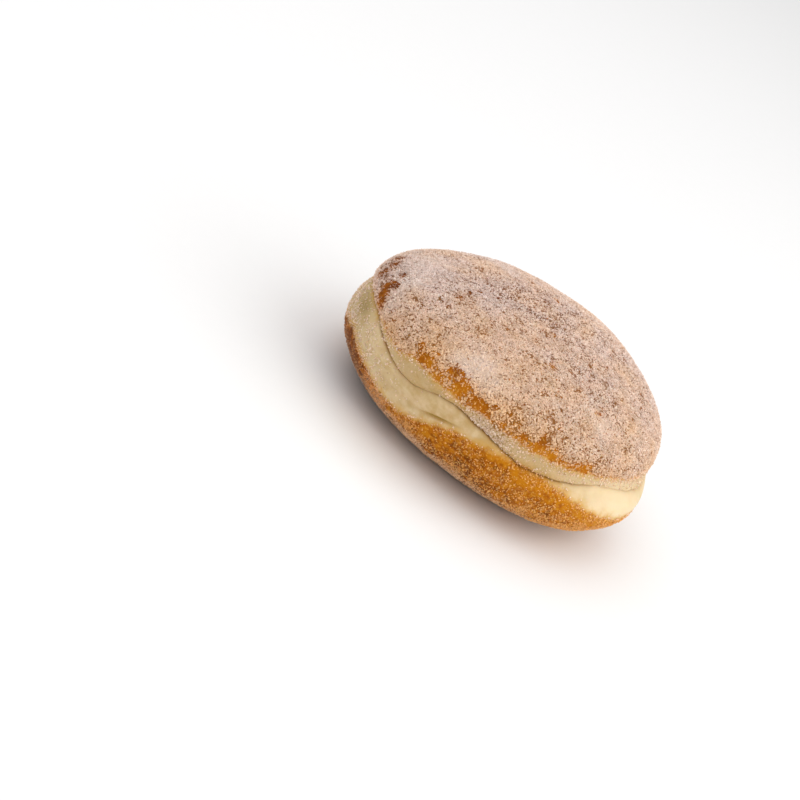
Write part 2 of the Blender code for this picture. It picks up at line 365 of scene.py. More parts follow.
def skin_fields(angle, height, fold, points):
    """Named fields of the skin, one number for each vertex: distances in millimetres from the
    brown edges, and the share of the sugar that each part of the coat gets there."""
    above_edge = (height - top_edge_height(angle)) / MM
    below_band = (LOW_EDGE_HEIGHT + ring_swells(angle, LOW_EDGE_WANDER) - height) / MM
    above_crease = (height - crease_height(angle)) / MM
    broad = noise_field(points, 0.0075, 1)
    fine = noise_field(points, 0.0026, 2)
    patchy = 0.6 * broad + 0.6 * fine

    dome = smooth_step((above_edge + 0.9 * fine + 0.3) / 0.9)
    belt = np.exp(-((above_edge - 1.8) / 2.4) ** 2)
    rough = np.clip(spots(points, ROUGH_SPOTS), 0.0, 1.0)
    bare = np.clip(spots(points, BARE_SPOTS), 0.0, 1.0)
    drift = np.clip(spots(points, SUGAR_DRIFTS) * (0.8 + 0.5 * fine), 0.0, 1.0) * dome
    top = np.clip(dome * (0.90 + 0.25 * patchy) + 0.35 * drift, 0.0, 1.3)

    strip = smooth_step(above_crease / 0.4) * (1.0 - dome)
    left_end = np.exp(-(turn_from(angle, LEFT_END) / math.radians(16.0)) ** 2)
    # Painted shade: a greyer, greenish grey spot at the ring's left end.
    olive_painted_shade = np.exp(-(turn_from(angle, PAINTED_SHADE_SPOT[0]) / math.radians(7.0)) ** 2
                   - ((height - PAINTED_SHADE_SPOT[1]) / 0.0034) ** 2)
    # Painted light on the ring's right end; the fine sugar's frost is added to the same field below.
    painted_light_and_frost = np.exp(-(turn_from(angle, PAINTED_LIGHT_SIDE) / math.radians(26.0)) ** 2)
    frost = np.exp(-(turn_from(angle, FROSTED_SIDE) / math.radians(11.0)) ** 2)
    painted_light_and_frost += 0.40 * frost
    sugared = strip * np.exp(-(turn_from(angle, SUGARED_STRIP) / math.radians(12.0)) ** 2)
    dark_end = np.exp(-(turn_from(angle, DARK_END) / math.radians(28.0)) ** 2)
    low = smooth_step((below_band + 0.8 * fine + 0.4) / 1.4)
    ring = (1.0 - dome) * (1.0 - strip) * (1.0 - low)
    fringe = np.exp(-((below_band - 0.2) / 1.1) ** 2)
    deep = smooth_step((11.5 + 2.5 * patchy - height / MM) / 7.0)
    frosted = (1.0 - dome) * (1.0 - low) * left_end * (1.0 - 0.9 * olive_painted_shade)
    side = strip * 0.02 + 0.55 * sugared + 0.15 * fringe * (1.0 + fine)
    side = side + frosted * np.clip(0.38 + 0.5 * fine, 0.0, 1.0)
    side = side + 0.22 * ring * frost * np.clip(1.0 + 1.5 * fine, 0.0, 2.0)
    powdered = 0.30 * np.exp(-((above_edge + 0.5) / 0.8) ** 2) + 0.35 * painted_light_and_frost
    side = side + powdered * strip * smooth_step(above_crease / 1.2)
    clusters = np.clip(1.0 + 1.4 * fine + 1.1 * noise_field(points, 0.0042, 10), 0.03, 2.3)
    caked = np.exp(-(turn_from(angle, CAKED_SIDE) / math.radians(13.0)) ** 2)
    crusted = low * smooth_step((9.0 - height / MM) / 4.0) * np.exp(
        -(turn_from(angle, CRUSTED_SIDE) / math.radians(36.0)) ** 2)
    side = side + low * (0.20 + 0.62 * deep + 0.40 * painted_light_and_frost + 0.30 * caked) * clusters
    clean = np.clip(spots(points, CLEAN_LOW_SPOTS) * (1.0 + 0.8 * fine), 0.0, 1.0)
    side = side * (1.0 - 0.90 * clean)
    under = smooth_step((below_band - 11.5) / 3.0)
    off_table = smooth_step((height / MM - 0.1) / 0.6)
    slit = np.clip(SLIT_DEPTH + ring_swells(angle, SLIT_WANDER), 0.0002, None) / SLIT_DEPTH
    rim = np.exp(-np.clip(above_edge, 0.0, None) / 6.5)
    toward = (0.5 + 0.5 * np.cos(angle - math.radians(WARM_SIDE))) ** 2
    warm = 1.4 * rim * toward + 0.12 + 0.40 * broad + 0.20 * noise_field(points, 0.0045, 7)
    warm = (warm - 0.5 * left_end) * dome + (1.0 - dome) * (1.0 - sugared) * (
        1.0 - 0.9 * frosted) * (0.35 + 0.65 * low) * (
            1.0 - 0.60 * np.maximum(painted_light_and_frost * deep, 0.7 * caked)) * (1.0 - 0.45 * crusted)
    away = np.hypot(points[:, 0], points[:, 1])
    far = np.cos(angle - math.radians(SPECK_SIDE)) * away / HALF_WIDTH
    cool = np.cos(angle - math.radians(COOL_SIDE)) * away / HALF_WIDTH
    speck = (0.18 + 0.38 * np.exp(-(away / SPECK_REACH) ** 2) + 0.13 * far
             + 0.28 * noise_field(points, 0.0090, 6) + 0.4 * rough - drift)
    return {
        "above_edge": above_edge,
        "below_band": below_band,
        "cover_top": top,
        "cover_side": np.clip(side * (1.0 - under), 0.0, 1.0),
        "cover_under": under * off_table * np.clip(0.75 + 0.3 * patchy, 0.0, 1.0),
        "bare": np.clip(0.88 * bare + 0.13 * rough + 0.12 * belt * toward, 0.0, 1.0) * dome,
        "hue": np.clip(0.5 - 0.38 * cool + 0.40 * noise_field(points, 0.0065, 8)
                       + 0.30 * noise_field(points, 0.0030, 9), 0.0, 1.0),
        "drift": drift,
        "warm": np.clip(warm, 0.0, 1.0),
        "speck": np.clip(speck, 0.0, 1.0),
        "strip": strip,
        "olive_painted_shade": 0.35 * left_end + 0.65 * olive_painted_shade,
        "painted_light_and_frost": painted_light_and_frost,
        "sugared": sugared,
        "dark_end": dark_end,
        "clean": clean,
        "crusted": crusted,
        # Where painted shade darkens the dough in and beside the crease's slit.
        "slit": np.clip(slit * np.exp(-np.abs(above_crease) / SLIT_SHADE), 0.0, 1.0),
        # Where painted shade darkens the dough in the folds.
        "fold": np.clip(fold / FOLDS[0][4], 0.0, 1.0),
    }


LUMPS = (  # (size of a lump, its rise, seed, rise on the pale ring)
    (0.0170, 0.00034, 3, 0.00030), (0.0052, 0.00014, 4, 0.00008), (0.0016, 0.00004, 5, 0.00001),
)


def roughen(mesh, points, fields):
    """Push the skin in and out along its normals by smooth lumps, and keep the flat spot flat."""
    normals = np.empty(len(points) * 3)
    mesh.vertices.foreach_get("normal", normals)
    pale = (1.0 - smooth_step(fields["above_edge"])) * (1.0 - smooth_step(fields["below_band"]))
    push = np.zeros(len(points))
    for size, rise, seed, pale_rise in LUMPS:
        push += noise_field(points, size, seed) * (rise + (pale_rise - rise) * pale)
    push *= smooth_step(points[:, 2] / 0.003)
    moved = points + normals.reshape(-1, 3) * push[:, None]
    moved[:, 2] = np.maximum(moved[:, 2], 0.0)
    return moved


def globe_mesh(name):
    """A closed globe with the skin's rows and segments, and each vertex's row and segment."""
    import bmesh
    form = bmesh.new()
    bmesh.ops.create_uvsphere(form, u_segments=SEGMENTS, v_segments=ROWS, radius=1.0)
    mesh = bpy.data.meshes.new(name)
    form.to_mesh(mesh)
    form.free()
    globe = np.empty(len(mesh.vertices) * 3)
    mesh.vertices.foreach_get("co", globe)
    globe = globe.reshape(-1, 3)
    row = np.rint(np.arccos(np.clip(globe[:, 2], -1.0, 1.0)) / math.pi * ROWS).astype(int)
    segment = np.rint(np.arctan2(globe[:, 1], globe[:, 0]) / math.tau * SEGMENTS).astype(int)
    return mesh, row, segment % SEGMENTS


def skin_mesh():
    """The doughnut's skin, with its fields stored as attributes."""
    mesh, row, segment = globe_mesh("doughnut_skin")
    angles, radii, heights = skin_table()
    angle, radius, height = angles[segment], radii[row, segment], heights[row, segment]
    fold = fold_inset(angle, radius, height)
    inset = crease_inset(angle, height) + fold
    smooth_points = place(angle, radius, height)
    points = place(angle, np.maximum(radius - inset, 0.0), height)
    low, high = points.min(axis=0), points.max(axis=0)
    middle = np.array([(low[0] + high[0]) / 2, (low[1] + high[1]) / 2, 0.0])
    fields = skin_fields(angle, height, fold, smooth_points)
    mesh.vertices.foreach_set("co", (points - middle).ravel())
    mesh.update()
    points = roughen(mesh, points - middle, fields)
    mesh.vertices.foreach_set("co", points.ravel())
    for name, values in fields.items():
        mesh.attributes.new(name, "FLOAT", "POINT").data.foreach_set("value", values)
    mesh.shade_smooth()
    mesh.update()
    return mesh


# ---------------------------------------------------------------------------------------------
# Materials.

class NodeSheet:
    """A node tree, with short calls for the nodes that the finishes and the sugar share."""

    def __init__(self, tree):
        self.tree = tree

    def node(self, kind, **settings):
        node = self.tree.nodes.new(kind)
        for name, value in settings.items():
            setattr(node, name, value)
        return node

    def wire(self, source, target):
        if isinstance(source, bpy.types.NodeSocket):
            self.tree.links.new(source, target)
        else:
            target.default_value = source

    def math(self, operation, a, b=0.0, clamp=False):
        node = self.node("ShaderNodeMath", operation=operation, use_clamp=clamp)
        self.wire(a, node.inputs[0])
        self.wire(b, node.inputs[1])
        return node.outputs[0]

    def scaled(self, vector, factor):
        node = self.node("ShaderNodeVectorMath", operation="SCALE")
        self.wire(vector, node.inputs[0])
        self.wire(factor, node.inputs["Scale"])
        return node.outputs[0]

    def noise(self, size, detail=2.0, roughness=0.5):
        """Noise from 0 to 1 in lumps of a size in metres."""
        node = self.node("ShaderNodeTexNoise")
        self.wire(self.place(), node.inputs["Vector"])
        node.inputs["Scale"].default_value = 1.0 / size
        node.inputs["Detail"].default_value = detail
        node.inputs["Roughness"].default_value = roughness
        return node.outputs["Fac"]

    def rise(self, value, low, high, start=0.0, end=1.0):
        """Ease from start to end while value goes from low to high."""
        node = self.node("ShaderNodeMapRange", interpolation_type="SMOOTHSTEP")
        self.wire(value, node.inputs["Value"])
        for name, number in (("From Min", low), ("From Max", high), ("To Min", start),
                             ("To Max", end)):
            self.wire(number, node.inputs[name])
        return node.outputs["Result"]


class StrewSheet(NodeSheet):
    """Geometry nodes: fields are named attributes at each point's place."""

    def place(self):
        return self.node("GeometryNodeInputPosition").outputs[0]

    def field(self, name):
        node = self.node("GeometryNodeInputNamedAttribute", data_type="FLOAT")
        self.wire(name, node.inputs["Name"])
        return node.outputs["Attribute"]


class FinishSheet(NodeSheet):
    """A material's nodes: fields are the mesh's attributes at the shaded place."""

    def __init__(self, name):
        self.material = bpy.data.materials.new(name)
        self.material.use_nodes = True
        super().__init__(self.material.node_tree)
        self.shader = self.tree.nodes["Principled BSDF"]

    def place(self):
        return self.node("ShaderNodeTexCoord").outputs["Object"]

    def field(self, name):
        return self.node("ShaderNodeAttribute", attribute_name=name).outputs["Fac"]

    def crystals(self, size):
        """Cells of a size in metres: two random numbers for each, and the way to its border."""
        node = self.node("ShaderNodeTexVoronoi")
        self.wire(self.place(), node.inputs["Vector"])
        node.inputs["Scale"].default_value = 1.0 / size
        parts = self.node("ShaderNodeSeparateColor")
        self.wire(node.outputs["Color"], parts.inputs["Color"])
        return parts.outputs["Red"], parts.outputs["Green"], node.outputs["Distance"]

    def mix(self, share, a, b, blend="MIX"):
        node = self.node("ShaderNodeMix", data_type="RGBA", blend_type=blend)
        self.wire(share, node.inputs["Factor"])
        self.wire(a, node.inputs["A"])
        self.wire(b, node.inputs["B"])
        return node.outputs["Result"]

    def ramp(self, value, stops):
        node = self.node("ShaderNodeValToRGB")
        self.wire(value, node.inputs["Fac"])
        ramp = node.color_ramp
        while len(ramp.elements) < len(stops):
            ramp.elements.new(1.0)
        for element, (position, color) in zip(ramp.elements, stops):
            element.position, element.color = position, (*color[:3], 1.0)
        return node.outputs["Color"]

    def bump(self, height, strength, depth):
        node = self.node("ShaderNodeBump")
        self.wire(height, node.inputs["Height"])
        node.inputs["Strength"].default_value = strength
        node.inputs["Distance"].default_value = depth
        self.wire(node.outputs["Normal"], self.shader.inputs["Normal"])


def coat_gaps(sheet):
    """How open the coat is: thin winding cracks with pits, thin patches, and bare patches."""
    winding = sheet.math("ABSOLUTE", sheet.math("SUBTRACT", sheet.noise(0.0011, 2.0, 0.5), 0.5))
    crack = sheet.rise(winding, 0.040, 0.085, 1.0, 0.0)
    speck = sheet.field("speck")
    patch = sheet.math("ADD", sheet.noise(0.0028, 2.0, 0.6),
                       sheet.math("MULTIPLY", speck, 0.30))
    pit = sheet.math("ADD", sheet.noise(0.00047, 1.0, 0.5), sheet.math("MULTIPLY", speck, 0.10))
    gap = sheet.math("MAXIMUM", sheet.math("MULTIPLY", crack, sheet.rise(patch, 0.58, 0.70)),
                     sheet.rise(pit, 0.572, 0.632))
    torn = sheet.math("MULTIPLY", sheet.math("SUBTRACT", sheet.noise(0.0010, 3.0, 0.7), 0.5), 3.2)
    torn = sheet.math("ADD", sheet.field("bare"), torn)
    return gap, sheet.rise(torn, 0.28, 0.55), sheet.rise(torn, 0.66, 0.80)


def tint(color):
    return (*color[:3], 1.0)


def dough_color(sheet, look, above, below, tone):
    """Colour of the bare dough, and how brown it is: brown above one edge and below the other."""
    pale = sheet.mix(tone, tint(look.pale), tint(look.pale_shade))
    # Painted shade: the ring's left end is greyed towards a greenish grey.
    pale = sheet.mix(sheet.field("olive_painted_shade"), pale,
                     tint(look.olive_painted_shade))
    # Painted light: the ring's right end is lightened.
    pale = sheet.mix(sheet.math("MULTIPLY", sheet.field("painted_light_and_frost"), 0.9), pale,
                     tint(look.pale_painted_light))
    pale = sheet.mix(sheet.rise(below, -2.6, 0.4, 0.0, 0.85), pale, tint(look.golden_pale))
    # Less of the strip's darker colour where light is painted.
    lit = sheet.math("SUBTRACT", 0.55, sheet.math("MULTIPLY", sheet.field("painted_light_and_frost"), 0.40))
    pale = sheet.mix(sheet.math("MULTIPLY", sheet.field("strip"), lit), pale, tint(look.strip))
    pale = sheet.mix(sheet.rise(above, -1.7, 0.5, 0.0, 0.80), pale, tint(look.golden_pale))
    stops = ((0.0, look.golden), (0.45, look.crust), (1.0, look.deep_crust))
    dark_end = sheet.math("MULTIPLY", sheet.field("dark_end"), 0.8)
    top_tone = sheet.math("ADD", sheet.rise(above, 0.0, 7.0, 0.08, 0.44),
                          sheet.math("MULTIPLY", tone, 0.42))
    top_tone = sheet.math("ADD", top_tone, sheet.math("MULTIPLY", dark_end, 0.5))
    low_tone = sheet.math("ADD", sheet.rise(below, 0.2, 6.0, 0.0, 0.34),
                          sheet.math("MULTIPLY", tone, 0.46))
    mottle = sheet.rise(sheet.noise(0.0013, 2.0, 0.6), 0.36, 0.64, -0.24, 0.28)
    low_tone = sheet.math("ADD", low_tone, mottle)
    low_tone = sheet.math("SUBTRACT", low_tone, sheet.math("MULTIPLY", sheet.field("clean"), 0.20))
    low_tone = sheet.math("ADD", low_tone, dark_end)
    # Painted light: the underside's crust is lightened below the ring's lit end.
    low_tone = sheet.math("SUBTRACT", low_tone,
                          sheet.math("MULTIPLY", sheet.field("painted_light_and_frost"), 0.35))
    low_share, top_share = sheet.rise(below, -0.8, 1.0), sheet.rise(above, -0.3, 0.6)
    color = sheet.mix(low_share, pale, sheet.ramp(low_tone, stops))
    color = sheet.mix(top_share, color, sheet.ramp(top_tone, stops))
    brown = sheet.math("MAXIMUM", low_share, top_share)
    # Painted highlights: small golden specks on the brown crust stand in for sparkle, fewer at the
    # dark end.
    painted_glint = sheet.math("MULTIPLY", sheet.rise(sheet.noise(0.0006, 2.0, 0.6), 0.54, 0.68), brown)
    painted_glint = sheet.math("MULTIPLY", painted_glint, sheet.math("SUBTRACT", 1.0, dark_end))
    color = sheet.mix(sheet.math("MULTIPLY", painted_glint, 0.5), color, tint(look.painted_glint))
    return color, brown


def hue_color(sheet, look):
    """Slow drift of the sugar's hue, from a cool tint to a straw tint."""
    return sheet.ramp(sheet.field("hue"), ((0.0, look.cool_dust), (0.5, look.dust),
                                           (1.0, look.straw_dust)))


def gap_crust_and_painted_shade(sheet, look):
    """Colour at the bottom of a gap in the coat: crust with painted shade between the grains; dark,
    or tan where the coat is warm.
    """
    return sheet.mix(sheet.field("warm"), tint(look.gap_dark_painted_shade), tint(look.gap_warm_painted_shade))


def dough_material(look):
    """Browned crust above and below a pale ring, with a coat of the finest sugar."""
    sheet = FinishSheet("fried_dough")
    blotch = sheet.noise(0.0030, 4.0, 0.6)
    grainy = sheet.noise(0.0007, 3.0, 0.6)
    broad = sheet.noise(0.0120, 3.0, 0.55)
    wobble = sheet.math("ADD", sheet.math("MULTIPLY", sheet.math("SUBTRACT", blotch, 0.5), 3.4),
                        sheet.math("MULTIPLY", sheet.math("SUBTRACT", grainy, 0.5), 1.3))
    above = sheet.math("ADD", sheet.field("above_edge"), wobble)
    below = sheet.math("ADD", sheet.field("below_band"), wobble)
    tone = sheet.rise(sheet.math("ADD", sheet.math("MULTIPLY", broad, 0.4),
                                 sheet.math("MULTIPLY", blotch, 0.6)), 0.36, 0.64)
    color, brown = dough_color(sheet, look, above, below, tone)
    # Painted shade in the crease: the dough is darkened and warmed along the slit.
    color = sheet.mix(sheet.math("MULTIPLY", sheet.field("slit"), 0.85), color,
                      tint(look.slit))
    # Painted shade in the folds of the ring.
    color = sheet.mix(sheet.math("MULTIPLY", sheet.field("fold"), 0.85), color,
                      tint(look.fold))

    gap, thin, bare = coat_gaps(sheet)
    chance, hue, border = sheet.crystals(0.00034)
    low_cover = sheet.math("ADD", sheet.field("cover_side"), sheet.field("cover_under"))
    laid_low = sheet.rise(sheet.math("SUBTRACT", low_cover, chance), -0.08, 0.08, 0.0, look.veil)
    laid_low = sheet.math("MULTIPLY", laid_low,
                          sheet.rise(sheet.field("warm"), 0.3, 0.9, 1.0, 0.15))
    strip = sheet.math("MULTIPLY", sheet.field("strip"), 0.10)
    strip = sheet.math("MAXIMUM", strip, sheet.math("MULTIPLY", sheet.field("sugared"), 0.55))
    laid = sheet.math("MAXIMUM", sheet.math("MULTIPLY", laid_low, brown), strip)
    dome = sheet.rise(above, 0.2, 0.9)
    top_laid = sheet.rise(chance, 0.0, 1.0, look.veil, 1.0)
    dusty = sheet.rise(sheet.math("SUBTRACT", thin, chance), -0.10, 0.35, 1.0, 0.0)
    dusty = sheet.math("MULTIPLY", dusty, sheet.math("SUBTRACT", 1.0, bare))
    top_laid = sheet.math("MULTIPLY", top_laid, dusty)
    laid = sheet.math("MAXIMUM", laid, sheet.math("MULTIPLY", top_laid, dome))
    sugar = sheet.ramp(hue, ((0.0, look.dust_dark), (0.4, look.dust), (1.0, look.dust_light)))
    sugar = sheet.mix(0.5, sugar, hue_color(sheet, look))
    sugar = sheet.mix(sheet.math("MULTIPLY", sheet.field("warm"), 0.75), sugar,
                      tint(look.tan_dust))
    # Soft patches of the coat darkened towards the gaps' crust and painted shade.
    soft = sheet.rise(sheet.noise(0.0019, 3.0, 0.65), 0.40, 0.70, 0.0, 0.35)
    sugar = sheet.mix(soft, sugar, gap_crust_and_painted_shade(sheet, look), "MULTIPLY")
    # The coat's gaps: crust with painted shade between the grains.
    sugar = sheet.mix(sheet.math("MULTIPLY", gap, 0.95), sugar, gap_crust_and_painted_shade(sheet, look))
    color = sheet.mix(laid, color, sugar)
    drift = sheet.math("MULTIPLY", sheet.field("drift"), sheet.rise(grainy, 0.3, 0.6, 0.25, 0.8))
    drift = sheet.math("MULTIPLY", drift, laid)
    color = sheet.mix(drift, color, tint(look.drift_dust))
    sheet.wire(color, sheet.shader.inputs["Base Color"])

    sheet.wire(sheet.rise(grainy, 0.3, 0.7, 0.42, 0.68), sheet.shader.inputs["Roughness"])
    sheet.shader.inputs["Subsurface Weight"].default_value = look.glow
    sheet.shader.inputs["Subsurface Radius"].default_value = (0.0022, 0.0012, 0.0005)
    sheet.shader.inputs["Subsurface Scale"].default_value = 1.0
    sheet.shader.inputs["Specular IOR Level"].default_value = 0.06
    relief = sheet.math("ADD", sheet.math("MULTIPLY", blotch, 0.6), grainy)
    relief = sheet.math("ADD", relief, sheet.math("MULTIPLY", laid, 1.2))
    relief = sheet.math("SUBTRACT", relief, sheet.math("MULTIPLY", border, laid))
    sheet.bump(relief, 0.5, 0.00025)
    return sheet.material


def sugar_material(name, look, dough, see_through, seed_share):
    """Granulated sugar: crystals of mixed tints through which the dough's colour shows a little."""
    sheet = FinishSheet(name)
    mixed = sheet.math("FRACT", sheet.math("ADD", sheet.field("tint"), seed_share))
    color = sheet.ramp(mixed, (
        (0.0, look.grain_warm), (0.30, look.grain_pink), (0.70, look.grain_white),
        (1.0, look.grain_cool)))
    color = sheet.mix(0.35, color, hue_color(sheet, dough))
    color = sheet.mix(sheet.math("MULTIPLY", sheet.field("warm"), 0.7), color,
                      tint(look.grain_tan))
    # Grains darkened in soft patches towards the gaps' crust and painted shade.
    soft = sheet.rise(sheet.noise(0.0019, 3.0, 0.65), 0.40, 0.70, 0.0, 0.30)
    color = sheet.mix(soft, color, gap_crust_and_painted_shade(sheet, dough), "MULTIPLY")
    under, brown = dough_color(sheet, dough, sheet.field("above_edge"),
                               sheet.field("below_band"), 0.2)
    # Grains over brown crust take the painted highlight colour, less at the dark end.
    light = sheet.math("MULTIPLY", brown, sheet.rise(sheet.field("dark_end"), 0.0, 1.0, 0.55, 0.05))
    under = sheet.mix(light, sheet.scaled(under, 1.6), tint(dough.painted_glint))
    color = sheet.mix(sheet.math("MULTIPLY", sheet.field("drift"), 0.3), color,
                      tint(look.grain_white))
    frost = sheet.noise(0.00018, 1.0, 0.5)
    color = sheet.mix(sheet.rise(frost, 0.35, 0.70, 0.0, 0.20), color, tint(look.grain_white))
    through = sheet.math("MULTIPLY", see_through, sheet.rise(brown, 0.0, 1.0, 0.25, 1.0))
    through = sheet.math("MULTIPLY", through, sheet.rise(sheet.field("crusted"), 0.0, 1.0, 1.0, 0.5))
    through = sheet.math("MAXIMUM", sheet.math("MULTIPLY", sheet.field("bare"), 0.75), through)
    color = sheet.mix(through, color, under)
    sheet.wire(color, sheet.shader.inputs["Base Color"])
    sheet.wire(sheet.rise(frost, 0.3, 0.7, 0.20, 0.45), sheet.shader.inputs["Roughness"])
    sheet.shader.inputs["Specular IOR Level"].default_value = 0.65 * (1.0 - see_through)
    return sheet.material


# ---------------------------------------------------------------------------------------------
# Sugar, scattered by geometry nodes.

BLOCK_SIDES = (1.0, 0.82, 0.68)
BLOCK, CHIP, SPLINTER = "block", "chip", "splinter"
MOST_TRIANGLES = 199000
THIN_SHARE = 0.62              # how open the coat is in its thin patches

# (piece, cover attribute, grain shape, grains per square millimetre, grain size, rise, seed,
# share of the dough's colour that shows through)
COATS = (
    ("sugar_top_blocks", "cover_top", BLOCK, 2.20, 0.00041, 0.00005, 11, 0.08),
    ("sugar_top_chips", "cover_top", CHIP, 3.70, 0.00037, 0.00005, 12, 0.08),
    ("sugar_top_splinters", "cover_top", SPLINTER, 7.20, 0.00034, 0.00005, 16, 0.08),
    ("sugar_side_blocks", "cover_side", BLOCK, 2.20, 0.00038, 0.00006, 13, 0.74),
    ("sugar_side_splinters", "cover_side", SPLINTER, 9.40, 0.00035, 0.00006, 14, 0.74),
    ("sugar_under_grains", "cover_under", CHIP, 3.60, 0.00044, 0.00004, 15, 0.45),
)


def grain_shape(tree, shape, size):
    """A node that makes one crystal: a brick, an eight sided chip or a four sided splinter."""
    nodes, links = tree.nodes, tree.links
    if shape == BLOCK:
        sides = nodes.new("ShaderNodeVectorMath")
        sides.operation = "SCALE"
        sides.inputs[0].default_value = BLOCK_SIDES
        links.new(size, sides.inputs["Scale"])
        brick = nodes.new("GeometryNodeMeshCube")
        links.new(sides.outputs[0], brick.inputs["Size"])
        return brick.outputs["Mesh"]
    if shape == SPLINTER:
        cone = nodes.new("GeometryNodeMeshCone")
        cone.fill_type = "NGON"
        cone.inputs["Vertices"].default_value = 3
        cone.inputs["Radius Top"].default_value = 0.0
        share = nodes.new("ShaderNodeMath")
        share.operation = "MULTIPLY"
        share.inputs[1].default_value = 0.58
        links.new(size, share.inputs[0])
        links.new(share.outputs[0], cone.inputs["Radius Bottom"])
        links.new(size, cone.inputs["Depth"])
        return cone.outputs["Mesh"]
    half = nodes.new("ShaderNodeMath")
    half.operation = "MULTIPLY"
    half.inputs[1].default_value = 0.5
    links.new(size, half.inputs[0])
    chip = nodes.new("GeometryNodeMeshUVSphere")
    chip.inputs["Segments"].default_value = 4
    chip.inputs["Rings"].default_value = 2
    links.new(half.outputs[0], chip.inputs["Radius"])
    return chip.outputs["Mesh"]


def random_value(tree, kind, low, high, seed, step):
    """A random number or vector for each grain, from its own run of the seed."""
    node = tree.nodes.new("FunctionNodeRandomValue")
    node.data_type = kind
    sockets = [s for s in node.inputs if s.enabled]
    sockets[0].default_value, sockets[1].default_value = low, high
    shift = tree.nodes.new("ShaderNodeMath")
    shift.operation = "ADD"
    shift.inputs[1].default_value = step
    tree.links.new(seed, shift.inputs[0])
    tree.links.new(shift.outputs[0], node.inputs["Seed"])
    return next(s for s in node.outputs if s.enabled)


def scatter_tree(shape):
    """Geometry nodes that strew grains over a surface and return them as one plain mesh."""
    tree = bpy.data.node_groups.new(f"strew_{shape}s", "GeometryNodeTree")
    for name, kind in (("Geometry", "Geometry"), ("Cover", "String"), ("Density", "Float"),
                       ("Grain Size", "Float"), ("Rise", "Float"), ("Seed", "Int"),
                       ("Material", "Material")):
        tree.interface.new_socket(name, in_out="INPUT", socket_type=f"NodeSocket{kind}")
    tree.interface.new_socket("Geometry", in_out="OUTPUT", socket_type="NodeSocketGeometry")
    nodes, links = tree.nodes, tree.links
    given = nodes.new("NodeGroupInput").outputs

    sheet = StrewSheet(tree)
    strew = nodes.new("GeometryNodeDistributePointsOnFaces")
    links.new(given["Geometry"], strew.inputs["Mesh"])
    links.new(sheet.math("MULTIPLY", sheet.field(given["Cover"]), given["Density"]),
              strew.inputs["Density"])
    links.new(given["Seed"], strew.inputs["Seed"])

    gap, thin, bare = coat_gaps(sheet)
    clump = sheet.rise(sheet.noise(0.0010, 2.0, 0.6), 0.30, 0.42, 0.45, 0.0)
    open_coat = sheet.math("MAXIMUM", sheet.math("MAXIMUM", gap, bare), clump)
    open_coat = sheet.math("MAXIMUM", open_coat, sheet.math("MULTIPLY", thin, THIN_SHARE))
    chance = random_value(tree, "FLOAT", 0.15, 0.95, given["Seed"], 4)
    cleared = nodes.new("GeometryNodeDeleteGeometry")
    cleared.domain = "POINT"
    links.new(strew.outputs["Points"], cleared.inputs["Geometry"])
    links.new(sheet.math("GREATER_THAN", open_coat, chance), cleared.inputs["Selection"])

    lift = sheet.scaled(strew.outputs["Normal"], given["Rise"])
    raised = nodes.new("GeometryNodeSetPosition")
    links.new(cleared.outputs[0], raised.inputs["Geometry"])
    links.new(lift, raised.inputs["Offset"])

    grains = nodes.new("GeometryNodeInstanceOnPoints")
    links.new(raised.outputs[0], grains.inputs["Points"])
    links.new(grain_shape(tree, shape, given["Grain Size"]), grains.inputs["Instance"])
    turn = random_value(tree, "FLOAT_VECTOR", (0.0, 0.0, 0.0), (math.tau,) * 3, given["Seed"], 1)
    links.new(turn, grains.inputs["Rotation"])
    spread = random_value(tree, "FLOAT_VECTOR", (0.6,) * 3, (1.3,) * 3, given["Seed"], 2)
    links.new(spread, grains.inputs["Scale"])

    tinted = nodes.new("GeometryNodeStoreNamedAttribute")
    tinted.data_type, tinted.domain = "FLOAT", "INSTANCE"
    tinted.inputs["Name"].default_value = "tint"
    links.new(grains.outputs[0], tinted.inputs["Geometry"])
    links.new(random_value(tree, "FLOAT", 0.0, 1.0, given["Seed"], 3),
              next(s for s in tinted.inputs if s.name == "Value" and s.enabled))
    realize = nodes.new("GeometryNodeRealizeInstances")
    links.new(tinted.outputs[0], realize.inputs[0])
    finish = nodes.new("GeometryNodeSetMaterial")
    links.new(realize.outputs[0], finish.inputs["Geometry"])
    links.new(given["Material"], finish.inputs["Material"])
    links.new(finish.outputs[0], nodes.new("NodeGroupOutput").inputs[0])
    return tree


